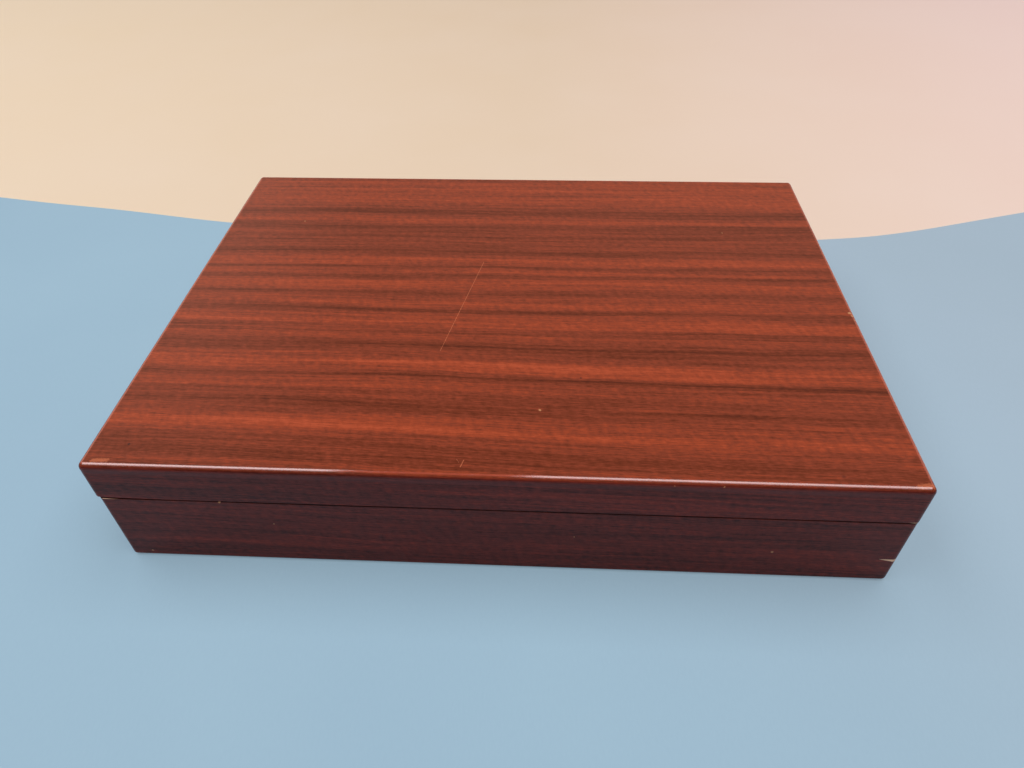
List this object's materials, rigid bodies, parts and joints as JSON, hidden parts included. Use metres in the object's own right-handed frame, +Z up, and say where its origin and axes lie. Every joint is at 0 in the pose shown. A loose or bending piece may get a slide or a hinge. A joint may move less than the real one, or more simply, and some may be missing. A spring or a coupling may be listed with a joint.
{
  "type": "silverware chest",
  "caption": "Low wooden chest with a hinged lid and flannel covered racks inside for forks, spoons and knives.",
  "frame": {"origin": "centre of the base's outline, on the felt underside that it rests on", "axes": "+X to the right along the front, +Y to the hinges at the back, +Z up"},
  "size_m": [0.3827, 0.2794, 0.0698],
  "materials": {
    "mahogany": "gloss",
    "plywood": "matte",
    "felt": "matte",
    "flannel": "matte",
    "brass": "satin"
  },
  "bodies": {
    "base": {"base_front_wall": "mahogany", "base_back_wall": "mahogany", "base_left_wall": "mahogany", "base_right_wall": "mahogany", "base_bottom_panel": "plywood", "underside_felt": "felt", "base_floor_lining": "flannel", "base_front_lining": "flannel", "base_back_lining": "flannel", "base_left_lining": "flannel", "base_right_lining": "flannel", "serving_divider": "flannel", "front_slot_rack": "flannel", "back_slot_rack": "flannel", "left_hinge_base_leaf": "brass", "right_hinge_base_leaf": "brass", "left_hinge_pin": "brass", "right_hinge_pin": "brass", "base_hinge_screws": "brass"},
    "lid": {"lid_front_wall": "mahogany", "lid_back_wall": "mahogany", "lid_left_wall": "mahogany", "lid_right_wall": "mahogany", "lid_top_panel": "mahogany", "lid_panel_lining": "flannel", "lid_front_lining": "flannel", "lid_back_lining": "flannel", "lid_left_lining": "flannel", "lid_right_lining": "flannel", "knife_blade_rack": "flannel", "knife_handle_rack": "flannel", "left_hinge_lid_leaf": "brass", "right_hinge_lid_leaf": "brass", "lid_hinge_screws": "brass"}
  },
  "joints": [
    {"name": "lid_hinge", "type": "hinge", "parent": "base", "child": "lid", "pos_m": [0, 0.1377, 0.04675], "axis": [-1, 0, 0], "range_deg": [0, 97]}
  ]
}
